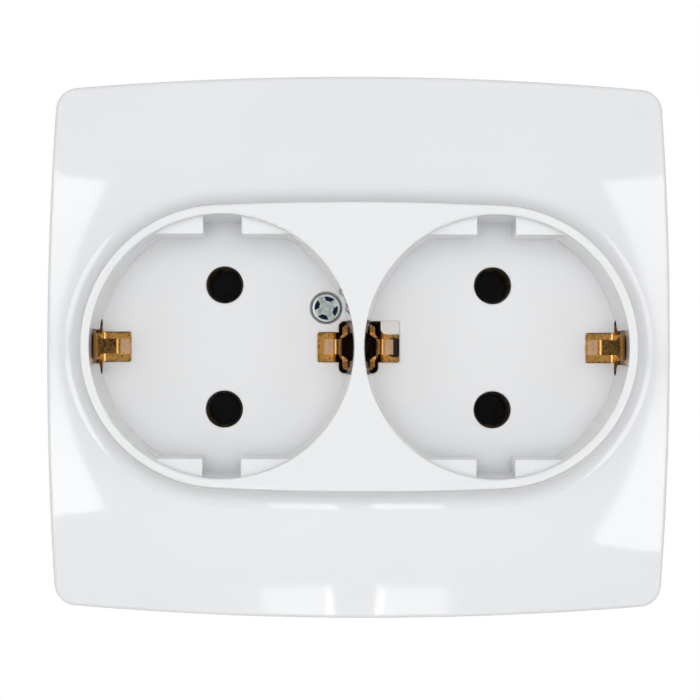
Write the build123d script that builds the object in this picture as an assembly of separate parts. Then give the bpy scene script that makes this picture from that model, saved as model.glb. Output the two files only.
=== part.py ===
from build123d import *
import math
import os

# Double earthed socket outlet for one round wall box, in millimetres.
# X runs right, Y into the wall, Z up; the origin is the box axis in the wall's plane.
# A height is measured forward from the wall's plane, and a depth backward from it.

# Cover plate
PLATE_WIDTH = 95.5
PLATE_HEIGHT = 83.1
PLATE_SIDE_BULGE = 1.3
PLATE_TOP_BULGE = 2.0
PLATE_CORNER_RADIUS = 3.6
PLATE_DRAFT = 2.5
PLATE_WALL = 2.0
PLATE_EDGE_RADIUS = 0.7
DOME_HEIGHT = 14.5
DOME_RADIUS_ALONG_X = 220.0
DOME_RADIUS_ALONG_Z = 150.0
DOME_REACH_SHARE = 0.56

# Raised rim round both recesses
RIM_TOP = 22.5
RIM_END_RADIUS = 21.05
RIM_HALF_HEIGHT = 21.55
RIM_DRAFT = 3.0
RIM_FOOT = 8.0
RIM_COVE_RADIUS = 3.3
RIM_COVE_ZONE = 5.0
RIM_EDGE_ZONE = 2.0
RIM_EDGE_RADIUS = 0.32
RIM_FACE_WALL = 2.0

# Recesses
WELL_OFFSET = 20.5
WELL_MOUTH_RADIUS = 19.76
WELL_FLOOR_RADIUS = 19.06
WELL_DEPTH = 17.5
WELL_FLOOR_WALL = 1.8
WELL_SIDE_WALL = 1.15
PIN_OFFSET = 9.5
PIN_HOLE_RADIUS = 2.83
PIN_HOLE_EDGE = 0.3
KEY_FLAT_FRONT = 16.85
KEY_FLAT_FLOOR = 16.53
KEY_TOP_DROP = 3.0
KEY_GAP = 5.8
RIB_THICKNESS = 1.2
RIB_OFFSETS = (16.0, 32.0)

# Clip windows in the recess floors
OUTER_WINDOW_START = 14.3
OUTER_WINDOW_WIDTH = 4.6
WINDOW_CORNER = 0.35
WINDOW_EDGE = 0.16
CLIP_RECESS_WIDTH = 5.2
CLIP_RECESS_REACH = 19.55
CLIP_RECESS_TOP_DROP = 4.4
CLIP_SLIT_LENGTH = 8.4
CLIP_SLIT_WIDTH = 0.9
CLIP_SLIT_RISE = 2.3
INNER_WINDOW_START = 14.25
INNER_WINDOW_STEM = 2.3
INNER_WINDOW_CROSS_START = 17.5
INNER_WINDOW_CROSS = 4.0
INNER_WINDOW_CORNER = 0.9
INNER_PASSAGE_WIDTH = 4.2
INNER_PASSAGE_TOP_DROP = 3.5
LUG_X = 3.4
LUG_Z = 2.0
LUG_DROP = 0.6
LUG_CORNER = 0.9

# Cover screw and its insert
COVER_SCREW_X = -4.95
COVER_SCREW_Z = 6.0
COVER_SCREW_HEAD_RADIUS = 2.2
COVER_SCREW_HEAD_HEIGHT = 1.6
COVER_SCREW_HEAD_PLAY = 0.3
COVER_SCREW_HEAD_EDGE = 0.3
COVER_SCREW_CROSS = 1.45
COVER_SCREW_CROSS_WIDTH = 0.8
COVER_SCREW_CROSS_DRAFT = 12.0
COVER_SCREW_SLOT = 2.0
COVER_SCREW_SLOT_WIDTH = 0.55
COVER_SCREW_SLOT_DEPTH = 0.5
COVER_SCREW_RADIUS = 1.45
COVER_SCREW_TURN = -28.0
THREAD_PLAY = 0.05
COVER_SCREW_LENGTH = 9.0
COVER_SCREW_BOSS_RADIUS = 3.55
DRIVER_GROOVE_RADIUS = 2.9
INSERT_RADIUS = 2.2
INSERT_LENGTH = 4.0

# Layers between cover and frame
FRAME_THICKNESS = 1.0
FRONT_PLATE_THICKNESS = 1.4
LAYER_PLAY = 0.1
FRONT_PLATE_REACH = 41.0
FRONT_PLATE_ARM_WIDTH = 10.0
FRONT_PLATE_CORNER = 2.0
FRONT_PLATE_HOLE = 2.6
MIDDLE_PLAY = 0.5
STRAP_THICKNESS = 0.5
SHEET_PLAY = 0.15

# Support frame
FRAME_WIDTH = 71.0
FRAME_INSET = 6.05
FRAME_CORNER_RADIUS = 6.0
BOX_SCREW_SPACING = 60.0
BOX_SLOT_LENGTH = 7.0
BOX_SLOT_WIDTH = 4.2

# Base
BASE_HALF_WIDTH = 25.5
BASE_HALF_HEIGHT = 19.0
BASE_RADIUS = 28.8
BASE_DEPTH = 24.0
PEDESTAL_HALF_WIDTH = 25.3
PEDESTAL_HALF_HEIGHT = 15.3
PEDESTAL_PLAY = 0.2
BASE_CHAMFER = 1.0
BASE_RIVET_X = 17.5
BASE_RIVET_Z = 17.1
RIVET_RADIUS = 1.2
RIVET_HEAD_RADIUS = 1.8
RIVET_HEAD_HEIGHT = 0.7
RIVET_LENGTH = 6.0
RIVET_PLAY = 0.05
EARTH_RIVET_RADIUS = 1.0

# Pin contacts and bars
CONTACT_BORE = 2.45
CONTACT_SHEET = 0.7
CONTACT_START = 1.2
CONTACT_LENGTH = 12.0
CONTACT_SLOT = 1.0
CONTACT_MOUTH_FLARE = 0.4
CONTACT_SLIT_SHARE = 0.58
SPRING_WIRE = 0.8
SPRING_GAP_ANGLE = 50.0
SPRING_PLAY = 0.02
SPRING_SETBACK = 1.6
BAR_OFFSET = 13.0
BAR_SHEET = 0.8
BAR_START = 4.0
BAR_SETBACK = 12.6
BAR_HALF_LENGTH = 23.0
CONTACT_POCKET_PLAY = 0.35

# Earth strap and clips
STRAP_WIDTH = 4.4
STRAP_BEND_RADIUS = 0.9
CLIP_FOOT_RADIUS = 1.2
CLIP_LEG_OFFSET = 19.1
CLIP_SHOULDER_WIDTH = 6.9
CLIP_LEG_WIDTH = 3.95
CLIP_TONGUE_WIDTH = 2.25
CLIP_TOP_DROP = 3.4
CLIP_BRIDGE_REACH = 4.05
CLIP_BRIDGE_FALL = 0.4
CLIP_FACET_REACH = 1.3
CLIP_FACET_FALL = 5.6
CLIP_CURL_REACH = 0.9
CLIP_CURL_FALL = 2.4
CLIP_SHOULDER_DROP = 0.4
CLIP_WAIST_REACH = 1.4
CLIP_WAIST_RADIUS = 0.6
STRAP_WELL_HALF_WIDTH = 3.9
STRAP_WELL_DEPTH = 4.0
STRAP_HOLE_X = 5.53
STRAP_HOLE_RADIUS = 1.5
INNER_SHEET = 0.35
INNER_LEG_X = 2.95
INNER_WING_X = 2.45
INNER_WING_CURL = 0.25
INNER_BEND_RADIUS = 0.45
INNER_TIP_X = 5.2
INNER_CREST_DROP = 4.8
INNER_FACET_FALL = 4.6
INNER_CREST_LAND = 0.55
INNER_CREST_RADIUS = 0.3
INNER_WING_WIDTH = 6.9
INNER_WING_SHOULDER = 0.3
INNER_WING_FOOT = 1.2
INNER_WING_TOP_DROP = 11.0
EARTH_TAB_WIDTH = 5.0
EARTH_TAB_X = 10.0
EARTH_TAB_Z = 3.4
EARTH_TAB_LEAD = 1.0

# Terminals
TERMINAL_X = 10.0
TERMINAL_SHIFT = 0.3
EARTH_TERMINAL_SETBACK = 5.5
CLAMP_LENGTH = 9.6
CLAMP_WIDTH = 7.0
CLAMP_THICKNESS = 1.2
CLAMP_LIP = 0.6
CLAMP_OPEN = 2.6
CLAMP_TRAVEL = 1.9
CLAMP_PLAY = 0.3
TERMINAL_SCREW_RADIUS = 1.72
TERMINAL_SCREW_HOLE = 1.8
TERMINAL_SCREW_TAIL = 3.0
TERMINAL_HEAD_RADIUS = 3.0
TERMINAL_HEAD_HEIGHT = 2.0
WIRE_HOLE_RADIUS = 1.75
WIRE_HOLE_SPREAD = 2.6
WIRE_HOLE_Z = 15.1

# Spreading claws
CLAW_Z = 22.5
CLAW_HALF_WIDTH = 4.4
CLAW_SHEET = 1.0
CLAW_PIVOT_RADIUS = 1.6
CLAW_PIVOT_PLAY = 0.1
CLAW_BRIDGE_DEPTH = 9.0
CLAW_BRIDGE_THICKNESS = 2.0
CLAW_BRIDGE_HALF_HEIGHT = 2.5
CLAW_ARM_DEPTH = 17.0
CLAW_ARM_Z = 26.6
CLAW_TOOTH = 0.8
CLAW_TEETH = 4
CLAW_NECK_WIDTH = 2.6
CLAW_SCREW_RADIUS = 1.75
CLAW_SCREW_HOLE = 1.82
CLAW_SCREW_LIFT = 0.9
CLAW_SCREW_END = 20.0
CLAW_HEAD_RADIUS = 3.0
CLAW_HEAD_HEIGHT = 2.0
CLAW_HOLE_RADIUS = 2.3

# Heads and tips of the screws and rivets
CROSS_WIDTH = 0.8
CROSS_SHARE = 0.62
CROSS_DEPTH_SHARE = 0.55
HEAD_ROUNDING = 0.45
TIP_CHAMFER_SHARE = 0.3

# Margin of every cutting shape past the face it cuts, and play when an edge is picked by its place
CUT_PAST = 1.0
MATCH = 0.01

# Worked-out places
FLOOR_FRONT = RIM_TOP - WELL_DEPTH
FLOOR_BACK = FLOOR_FRONT - WELL_FLOOR_WALL
WELL_DRAFT = math.degrees(math.atan((WELL_MOUTH_RADIUS - WELL_FLOOR_RADIUS) / WELL_DEPTH))
TUBE_RADIUS = WELL_MOUTH_RADIUS + WELL_SIDE_WALL
FRONT_PLATE_FRONT = FRAME_THICKNESS + FRONT_PLATE_THICKNESS
STRAP_BACK = FRONT_PLATE_FRONT
STRAP_FRONT = STRAP_BACK + STRAP_THICKNESS
BASE_BACK = -BASE_DEPTH
CLIP_TOP = RIM_TOP - CLIP_TOP_DROP
CONTACT_OUTER = CONTACT_BORE + CONTACT_SHEET
BAR_WIDTH = BASE_DEPTH - BAR_START - BAR_SETBACK
TERMINAL_DEPTH = BAR_START + BAR_WIDTH / 2 + TERMINAL_SHIFT
EARTH_TERMINAL_DEPTH = BASE_DEPTH - EARTH_TERMINAL_SETBACK
EARTH_TAB_DEPTH = EARTH_TERMINAL_DEPTH - CLAMP_WIDTH / 2 - EARTH_TAB_LEAD


def front_plane(height):
    return Plane.XZ.offset(height)


def slab(sketch, low, high):
    """Solid between two heights, drawn in X and Z."""
    return extrude(front_plane(low) * sketch, amount=high - low)


def tapered(sketch, low, high, draft):
    """As slab, but drawn in by the draft angle on its way forward."""
    return extrude(front_plane(low) * sketch, amount=high - low, taper=draft)


def block(x_low, x_high, z_low, z_high, low, high):
    middle = ((x_low + x_high) / 2, (z_low + z_high) / 2)
    return slab(Pos(*middle) * Rectangle(x_high - x_low, z_high - z_low), low, high)


def rod(x, z, radius, low, high):
    return slab(Pos(x, z) * Circle(radius), low, high)


def upright_rod(x, depth, radius, z_low, z_high):
    return Pos(x, depth, (z_low + z_high) / 2) * Cylinder(radius, z_high - z_low)


def strip(points, bend_radius, thickness):
    """Face of a folded sheet's edge, from the points of one of its sides in order."""
    path = FilletPolyline(*points, radius=bend_radius)
    return make_face(offset(path, amount=thickness, side=Side.LEFT, closed=True))


def turned_half(part):
    """The same part, half a turn round the box axis."""
    return part.rotate(Axis.Y, 180)


def cross_recess(radius, height):
    """Cross recess for a driver in a head whose top faces +Z at the origin."""
    arm = 2 * radius * CROSS_SHARE
    depth = height * CROSS_DEPTH_SHARE
    flute = Box(arm, CROSS_WIDTH, 2 * depth)
    return flute + flute.rotate(Axis.Z, 90)


def pan_screw(head_radius, head_height, radius, length):
    """Screw with its head's seat at the origin and its shank down -Z."""
    head = Pos(0, 0, head_height / 2) * Cylinder(head_radius, head_height)
    crown = head.edges().filter_by(GeomType.CIRCLE).sort_by(Axis.Z)[-1]
    head = fillet(crown, head_height * HEAD_ROUNDING)
    shank = Pos(0, 0, -length / 2) * Cylinder(radius, length)
    tip = shank.edges().filter_by(GeomType.CIRCLE).sort_by(Axis.Z)[0]
    shank = chamfer(tip, radius * TIP_CHAMFER_SHARE)
    return head + shank - Pos(0, 0, head_height) * cross_recess(head_radius, head_height)


# Cover

def plate_outline(inset):
    """Rectangle with bowed sides and rounded corners."""
    half_width = PLATE_WIDTH / 2 - inset
    half_height = PLATE_HEIGHT / 2 - inset
    corner_x = half_width - PLATE_SIDE_BULGE
    corner_z = half_height - PLATE_TOP_BULGE
    corners = [
        (corner_x, corner_z),
        (-corner_x, corner_z),
        (-corner_x, -corner_z),
        (corner_x, -corner_z),
    ]
    middles = [(0, half_height), (-half_width, 0), (0, -half_height), (half_width, 0)]
    sides = [ThreePointArc(corners[i], middles[i], corners[(i + 1) % 4]) for i in range(4)]
    outline = make_face(sides)
    return fillet(outline.vertices(), PLATE_CORNER_RADIUS - inset)


def dome(drop):
    """Everything behind the plate's face, which is bowed both ways."""
    top = DOME_HEIGHT - drop
    profile_radius = DOME_RADIUS_ALONG_Z - drop
    half = PLATE_HEIGHT * DOME_REACH_SHARE
    end = top - profile_radius + math.sqrt(profile_radius**2 - half**2)
    back = -PLATE_WALL
    crown = ThreePointArc((0, -end, -half), (0, -top, 0), (0, -end, half))
    rest = Polyline((0, -end, half), (0, -back, half), (0, -back, -half), (0, -end, -half))
    axis = Axis((0, DOME_RADIUS_ALONG_X - drop - top, 0), (0, 0, 1))
    sweep = 2 * math.degrees(math.asin(PLATE_WIDTH * DOME_REACH_SHARE / DOME_RADIUS_ALONG_X))
    return revolve(make_face([crown, rest]).rotate(axis, -sweep / 2), axis, sweep)


def plate_body(inset, low):
    outline = plate_outline(inset)
    return tapered(outline, low, DOME_HEIGHT, PLATE_DRAFT) & dome(inset)


def rim_outline(grow):
    """Two round ends joined by long shallow arcs that run into them smoothly."""
    end_radius = RIM_END_RADIUS + grow
    half_height = RIM_HALF_HEIGHT + grow
    long_radius = (WELL_OFFSET**2 + half_height**2 - end_radius**2) / (2 * (half_height - end_radius))
    drop = long_radius - half_height
    reach = math.hypot(WELL_OFFSET, drop)
    touch_x = long_radius * WELL_OFFSET / reach
    touch_z = long_radius * drop / reach - drop
    end_x = WELL_OFFSET + end_radius
    return make_face([
        ThreePointArc((touch_x, touch_z), (0, half_height), (-touch_x, touch_z)),
        ThreePointArc((-touch_x, touch_z), (-end_x, 0), (-touch_x, -touch_z)),
        ThreePointArc((-touch_x, -touch_z), (0, -half_height), (touch_x, -touch_z)),
        ThreePointArc((touch_x, -touch_z), (end_x, 0), (touch_x, touch_z)),
    ])


def rim_body(inset, low, high):
    grow = (RIM_TOP - low) * math.tan(math.radians(RIM_DRAFT)) - inset
    return tapered(rim_outline(grow), low, high, RIM_DRAFT)


def well_space(side):
    """Space of one recess, with its split keys at top and bottom left standing."""
    floor = Pos(side * WELL_OFFSET, 0) * Circle(WELL_FLOOR_RADIUS)
    space = tapered(floor, FLOOR_FRONT, RIM_TOP + CUT_PAST, -WELL_DRAFT)
    key_top = RIM_TOP - KEY_TOP_DROP
    reach = WELL_MOUTH_RADIUS + CUT_PAST
    wedge = make_face(Polyline(
        (0, -FLOOR_FRONT + CUT_PAST, KEY_FLAT_FLOOR),
        (0, -key_top, KEY_FLAT_FRONT),
        (0, -key_top, reach),
        (0, -FLOOR_FRONT + CUT_PAST, reach),
        close=True,
    ))
    length = WELL_MOUTH_RADIUS
    for turn in (-1, 1):
        start = side * WELL_OFFSET + (KEY_GAP / 2 if turn > 0 else -KEY_GAP / 2)
        key = extrude(Pos(start, 0, 0) * wedge, amount=length, dir=(turn, 0, 0))
        space -= key
        space -= key.mirror(Plane.XY)
    return space


def floor_cut(outline):
    """Cut through a recess floor, its front edge broken."""
    cut = slab(outline, FLOOR_BACK - CUT_PAST, FLOOR_FRONT + CUT_PAST)
    return cut + tapered(outline, FLOOR_FRONT - WINDOW_EDGE, FLOOR_FRONT + WINDOW_EDGE, -45)


def outline_box(x_first, x_second, z_low, z_high):
    middle = ((x_first + x_second) / 2, (z_low + z_high) / 2)
    return Pos(*middle) * Rectangle(abs(x_second - x_first), z_high - z_low)


def outer_window(side):
    """Window, wall recess and slit for the outer earth clip of one recess."""
    centre = side * WELL_OFFSET
    half = OUTER_WINDOW_WIDTH / 2
    outline = outline_box(centre + side * OUTER_WINDOW_START, centre + side * CLIP_LEG_OFFSET, -half, half)
    inward = outline.vertices().sort_by(lambda v: side * v.X)[:2]
    window = floor_cut(fillet(inward, WINDOW_CORNER))

    inner = centre + side * (CLIP_LEG_OFFSET - CLIP_SLIT_WIDTH / 2)
    outer = centre + side * (CLIP_LEG_OFFSET + CLIP_SLIT_WIDTH / 2)
    back = centre + side * CLIP_RECESS_REACH
    recess = outline_box(inner, back, -CLIP_RECESS_WIDTH / 2, CLIP_RECESS_WIDTH / 2)
    slit = outline_box(inner, outer, -CLIP_SLIT_LENGTH / 2, CLIP_SLIT_LENGTH / 2)
    low = FLOOR_BACK - PLATE_WALL
    window += slab(recess, low, RIM_TOP - CLIP_RECESS_TOP_DROP)
    return window + slab(slit, low, FLOOR_FRONT + CLIP_SLIT_RISE)


def inner_window(side):
    """T-shaped window beside the web for the inner earth clip of one recess."""
    centre = side * WELL_OFFSET
    start = centre - side * INNER_WINDOW_START
    cross_start = centre - side * INNER_WINDOW_CROSS_START
    stem_top = INNER_WINDOW_CROSS if side > 0 else INNER_WINDOW_STEM
    stem = outline_box(start, cross_start - side, -INNER_WINDOW_STEM, stem_top)
    stem = fillet(stem.vertices().sort_by(lambda v: side * v.X)[-2:], WINDOW_CORNER)
    cross = outline_box(cross_start, 0, -INNER_WINDOW_CROSS, INNER_WINDOW_CROSS)
    shoulders = cross.vertices().sort_by(lambda v: side * v.X)[-2:]
    if side > 0:
        shoulders = shoulders.sort_by(Axis.Y)[:1]
    window = floor_cut(stem + fillet(shoulders, INNER_WINDOW_CORNER))
    if side > 0:
        lug = outline_box(LUG_X, start, LUG_Z, INNER_WINDOW_CROSS)
        corner = lug.vertices().sort_by(lambda v: v.X + v.Y)[0]
        window -= slab(fillet(corner, LUG_CORNER), FLOOR_BACK - CUT_PAST, FLOOR_FRONT - LUG_DROP)
    return window & rod(centre, 0, WELL_FLOOR_RADIUS, FLOOR_BACK - CUT_PAST, FLOOR_FRONT + CUT_PAST)


def build_cover():
    plate = plate_body(0, 0)
    lip = [e for e in plate.edges() if min(-v.Y for v in e.vertices()) > FRAME_THICKNESS]
    plate = fillet(lip, PLATE_EDGE_RADIUS)
    body = plate + rim_body(0, RIM_FOOT, RIM_TOP)
    cove_low = DOME_HEIGHT - RIM_COVE_ZONE
    foot = [
        e for e in body.edges()
        if cove_low < -e.center().Y < DOME_HEIGHT + CUT_PAST
        and abs(e.center().Z) < RIM_HALF_HEIGHT + RIM_EDGE_ZONE
        and all(abs(v.X) < WELL_OFFSET + RIM_EDGE_ZONE for v in e.vertices())
    ]
    body = fillet(foot, RIM_COVE_RADIUS)

    tubes = Part()
    for side in (-1, 1):
        tubes += rod(side * WELL_OFFSET, 0, TUBE_RADIUS, FLOOR_BACK, RIM_TOP - RIM_FACE_WALL)
    hollow = plate_body(PLATE_WALL, -1) + rim_body(PLATE_WALL, 0, RIM_TOP - RIM_FACE_WALL)
    ribs = Part()
    for x in RIB_OFFSETS:
        for side in (-1, 1):
            middle = side * x
            ribs += block(middle - RIB_THICKNESS / 2, middle + RIB_THICKNESS / 2,
                          -PLATE_HEIGHT, PLATE_HEIGHT, FLOOR_BACK, DOME_HEIGHT)
    body -= hollow - tubes - ribs
    boss_foot = FRONT_PLATE_FRONT + LAYER_PLAY
    body += rod(COVER_SCREW_X, COVER_SCREW_Z, COVER_SCREW_BOSS_RADIUS, boss_foot, FLOOR_FRONT - CUT_PAST)

    for side in (-1, 1):
        body -= well_space(side)
    mouths = [e for e in body.edges() if abs(-e.center().Y - RIM_TOP) < MATCH]
    body = fillet(mouths, RIM_EDGE_RADIUS)

    for side in (-1, 1):
        body -= outer_window(side)
        body -= inner_window(side)
        for pin_side in (-1, 1):
            body -= rod(side * WELL_OFFSET, pin_side * PIN_OFFSET, PIN_HOLE_RADIUS,
                        FLOOR_BACK - CUT_PAST, FLOOR_FRONT + CUT_PAST)
    half_passage = INNER_PASSAGE_WIDTH / 2
    cross_x = WELL_OFFSET - INNER_WINDOW_CROSS_START
    body -= block(-cross_x, cross_x, -half_passage, half_passage,
                  FLOOR_BACK - CUT_PAST, RIM_TOP - INNER_PASSAGE_TOP_DROP)

    head_hole = Pos(COVER_SCREW_X, COVER_SCREW_Z) * Circle(COVER_SCREW_HEAD_RADIUS + COVER_SCREW_HEAD_PLAY)
    seat = FLOOR_FRONT - COVER_SCREW_HEAD_HEIGHT - LAYER_PLAY
    body -= slab(head_hole, seat, FLOOR_FRONT + CUT_PAST)
    body -= tapered(head_hole, FLOOR_FRONT - WINDOW_EDGE, FLOOR_FRONT + WINDOW_EDGE, -45)
    body -= rod(COVER_SCREW_X, COVER_SCREW_Z, COVER_SCREW_RADIUS + COVER_SCREW_HEAD_PLAY, -1, FLOOR_FRONT)
    groove_top = RIM_TOP - KEY_TOP_DROP
    body -= rod(COVER_SCREW_X, COVER_SCREW_Z, DRIVER_GROOVE_RADIUS, FLOOR_FRONT, groove_top)
    pin_edges = [
        e for e in body.edges().filter_by(GeomType.CIRCLE)
        if abs(e.radius - PIN_HOLE_RADIUS) < MATCH and abs(-e.center().Y - FLOOR_FRONT) < MATCH
    ]
    return fillet(pin_edges, PIN_HOLE_EDGE)


def build_cover_screw():
    """Flat head with a driver's cross and slot, level with the recess floor."""
    seat = FLOOR_FRONT - COVER_SCREW_HEAD_HEIGHT - LAYER_PLAY
    top = seat + COVER_SCREW_HEAD_HEIGHT
    head = rod(0, 0, COVER_SCREW_HEAD_RADIUS, seat, top)
    rim = head.edges().filter_by(GeomType.CIRCLE).sort_by(Axis.Y)[0]
    head = fillet(rim, COVER_SCREW_HEAD_EDGE)
    cross_floor = top - COVER_SCREW_HEAD_HEIGHT * CROSS_DEPTH_SHARE
    for length, width in ((2 * COVER_SCREW_CROSS, COVER_SCREW_CROSS_WIDTH),
                          (COVER_SCREW_CROSS_WIDTH, 2 * COVER_SCREW_CROSS)):
        foot = Rectangle(length - COVER_SCREW_CROSS_WIDTH / 2, width - COVER_SCREW_CROSS_WIDTH / 2)
        head -= tapered(foot, cross_floor, top + CUT_PAST, -COVER_SCREW_CROSS_DRAFT)
    slot = Rectangle(COVER_SCREW_SLOT_WIDTH, 2 * COVER_SCREW_SLOT)
    head -= slab(slot, top - COVER_SCREW_SLOT_DEPTH, top)
    shank = rod(0, 0, COVER_SCREW_RADIUS, seat - COVER_SCREW_LENGTH, seat)
    return Pos(COVER_SCREW_X, 0, COVER_SCREW_Z) * (head + shank).rotate(Axis.Y, COVER_SCREW_TURN)


def build_cover_screw_insert():
    front = FRAME_THICKNESS
    back = front - INSERT_LENGTH
    sleeve = rod(COVER_SCREW_X, COVER_SCREW_Z, INSERT_RADIUS, back, front)
    return sleeve - rod(COVER_SCREW_X, COVER_SCREW_Z, COVER_SCREW_RADIUS + THREAD_PLAY, back, front)


# Insulating front plate

def pin_places():
    return [(side * WELL_OFFSET, end * PIN_OFFSET) for side in (-1, 1) for end in (-1, 1)]


def middle_opening(play, low, high):
    """Space round the strap's folds and the inner clip's wings."""
    fold_x = STRAP_WELL_HALF_WIDTH + play
    fold_z = STRAP_WIDTH / 2 + play
    wing_x = INNER_LEG_X + play
    wing_z = INNER_WING_WIDTH / 2 + play
    folds = block(-fold_x, fold_x, -fold_z, fold_z, low, high)
    return folds + block(-wing_x, wing_x, -wing_z, wing_z, low, high)


def build_front_plate():
    low = FRAME_THICKNESS
    high = FRONT_PLATE_FRONT
    plate = slab(Rectangle(2 * PEDESTAL_HALF_WIDTH, 2 * PEDESTAL_HALF_HEIGHT), low, high)
    plate = fillet(plate.edges().filter_by(Axis.Y), FRONT_PLATE_CORNER)
    arm_half = FRONT_PLATE_ARM_WIDTH / 2
    plate += block(-FRONT_PLATE_REACH, FRONT_PLATE_REACH, -arm_half, arm_half, low, high)
    plate -= middle_opening(MIDDLE_PLAY, low, high)
    for x, z in pin_places():
        plate -= rod(x, z, FRONT_PLATE_HOLE, low, high)
    plate -= rod(COVER_SCREW_X, COVER_SCREW_Z, COVER_SCREW_RADIUS + SHEET_PLAY, low, high)
    tab_low = EARTH_TAB_X - EARTH_TAB_WIDTH / 2 - SHEET_PLAY
    tab_high = EARTH_TAB_X + EARTH_TAB_WIDTH / 2 + SHEET_PLAY
    tab_top = EARTH_TAB_Z + STRAP_THICKNESS + SHEET_PLAY
    return plate - block(tab_low, tab_high, EARTH_TAB_Z - STRAP_BEND_RADIUS, tab_top, low, high)


# Support frame

def build_support_frame():
    frame = slab(Rectangle(FRAME_WIDTH, PLATE_HEIGHT - 2 * FRAME_INSET), 0, FRAME_THICKNESS)
    frame = fillet(frame.edges().filter_by(Axis.Y), FRAME_CORNER_RADIUS)
    window_width = 2 * (PEDESTAL_HALF_WIDTH + PEDESTAL_PLAY)
    window = Rectangle(window_width, 2 * (PEDESTAL_HALF_HEIGHT + PEDESTAL_PLAY))
    frame -= slab(window, 0, FRAME_THICKNESS)
    slot = SlotOverall(BOX_SLOT_LENGTH, BOX_SLOT_WIDTH, rotation=90)
    notch = CLAW_PIVOT_RADIUS + CLAW_PIVOT_PLAY
    for end in (-1, 1):
        frame -= slab(Pos(0, end * BOX_SCREW_SPACING / 2) * slot, 0, FRAME_THICKNESS)
        frame -= rod(0, end * CLAW_Z, CLAW_HOLE_RADIUS, 0, FRAME_THICKNESS)
        for side in (-1, 1):
            middle = side * (CLAW_HALF_WIDTH - CLAW_SHEET / 2)
            half = CLAW_SHEET / 2 + SHEET_PLAY
            frame -= block(middle - half, middle + half, end * CLAW_Z - notch, end * CLAW_Z + notch,
                           0, FRAME_THICKNESS)
    for x in (-BASE_RIVET_X, BASE_RIVET_X):
        for z in (-BASE_RIVET_Z, BASE_RIVET_Z):
            frame -= rod(x, z, RIVET_RADIUS + RIVET_PLAY, 0, FRAME_THICKNESS)
    return frame


# Base

def terminal_pocket(x, depth):
    """Pocket open to the top for one clamp, with its screw's tail and two wire inlets."""
    half_x = CLAMP_LENGTH / 2 + CLAMP_PLAY
    half_y = CLAMP_WIDTH / 2 + CLAMP_PLAY
    low_z = BAR_OFFSET - SHEET_PLAY
    pocket = block(x - half_x, x + half_x, low_z, BASE_RADIUS, -depth - half_y, -depth + half_y)
    tail = TERMINAL_SCREW_TAIL + CLAMP_TRAVEL + CLAMP_PLAY
    pocket += upright_rod(x, depth, TERMINAL_SCREW_HOLE + CLAMP_PLAY, BAR_OFFSET - tail, BAR_OFFSET)
    for side in (-1, 1):
        pocket += rod(x + side * WIRE_HOLE_SPREAD, WIRE_HOLE_Z, WIRE_HOLE_RADIUS, BASE_BACK, -depth)
    return pocket


def build_base():
    back = slab(Rectangle(2 * BASE_HALF_WIDTH, 2 * BASE_HALF_HEIGHT), BASE_BACK, 0)
    back = back & rod(0, 0, BASE_RADIUS, BASE_BACK, 0)
    rear = back.edges().group_by(Axis.Y)[-1]
    back = chamfer(rear, BASE_CHAMFER)
    base = back + slab(Rectangle(2 * PEDESTAL_HALF_WIDTH, 2 * PEDESTAL_HALF_HEIGHT), 0, FRAME_THICKNESS)

    bore = CONTACT_OUTER + SPRING_WIRE + CONTACT_POCKET_PLAY
    bore_floor = -(CONTACT_START + CONTACT_LENGTH + CONTACT_POCKET_PLAY)
    for x, z in pin_places():
        base -= rod(x, z, bore, bore_floor, FRAME_THICKNESS)
    bar_half = BAR_HALF_LENGTH + CONTACT_POCKET_PLAY
    slot = block(-bar_half, bar_half, BAR_OFFSET - SHEET_PLAY, BAR_OFFSET + BAR_SHEET + SHEET_PLAY,
                 -BAR_START - BAR_WIDTH - SHEET_PLAY, FRAME_THICKNESS)
    live = slot + terminal_pocket(-TERMINAL_X, TERMINAL_DEPTH)
    base -= live
    base -= turned_half(live)
    base -= terminal_pocket(TERMINAL_X, EARTH_TERMINAL_DEPTH)

    tab_half = EARTH_TAB_WIDTH / 2 + SHEET_PLAY
    tab_low = EARTH_TAB_Z - SHEET_PLAY
    tab_back = -EARTH_TAB_DEPTH - SHEET_PLAY
    riser_front = -EARTH_TAB_DEPTH + STRAP_THICKNESS + SHEET_PLAY
    left, right = EARTH_TAB_X - tab_half, EARTH_TAB_X + tab_half
    base -= block(left, right, tab_low, EARTH_TAB_Z + STRAP_BEND_RADIUS, tab_back, FRAME_THICKNESS)
    base -= block(left, right, tab_low, BAR_OFFSET + STRAP_BEND_RADIUS,
                  tab_back - STRAP_BEND_RADIUS, riser_front)

    base -= middle_opening(SHEET_PLAY, -STRAP_WELL_DEPTH - RIVET_HEAD_HEIGHT - SHEET_PLAY, FRAME_THICKNESS)
    base -= rod(COVER_SCREW_X, COVER_SCREW_Z, INSERT_RADIUS,
                FRAME_THICKNESS - INSERT_LENGTH, FRAME_THICKNESS)
    tip = FLOOR_FRONT - COVER_SCREW_HEAD_HEIGHT - LAYER_PLAY - COVER_SCREW_LENGTH - SHEET_PLAY
    base -= rod(COVER_SCREW_X, COVER_SCREW_Z, COVER_SCREW_RADIUS + SHEET_PLAY, tip, FRAME_THICKNESS)
    for x in (-BASE_RIVET_X, BASE_RIVET_X):
        for z in (-BASE_RIVET_Z, BASE_RIVET_Z):
            base -= rod(x, z, RIVET_RADIUS + RIVET_PLAY, -RIVET_LENGTH, 0)
    return base


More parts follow.
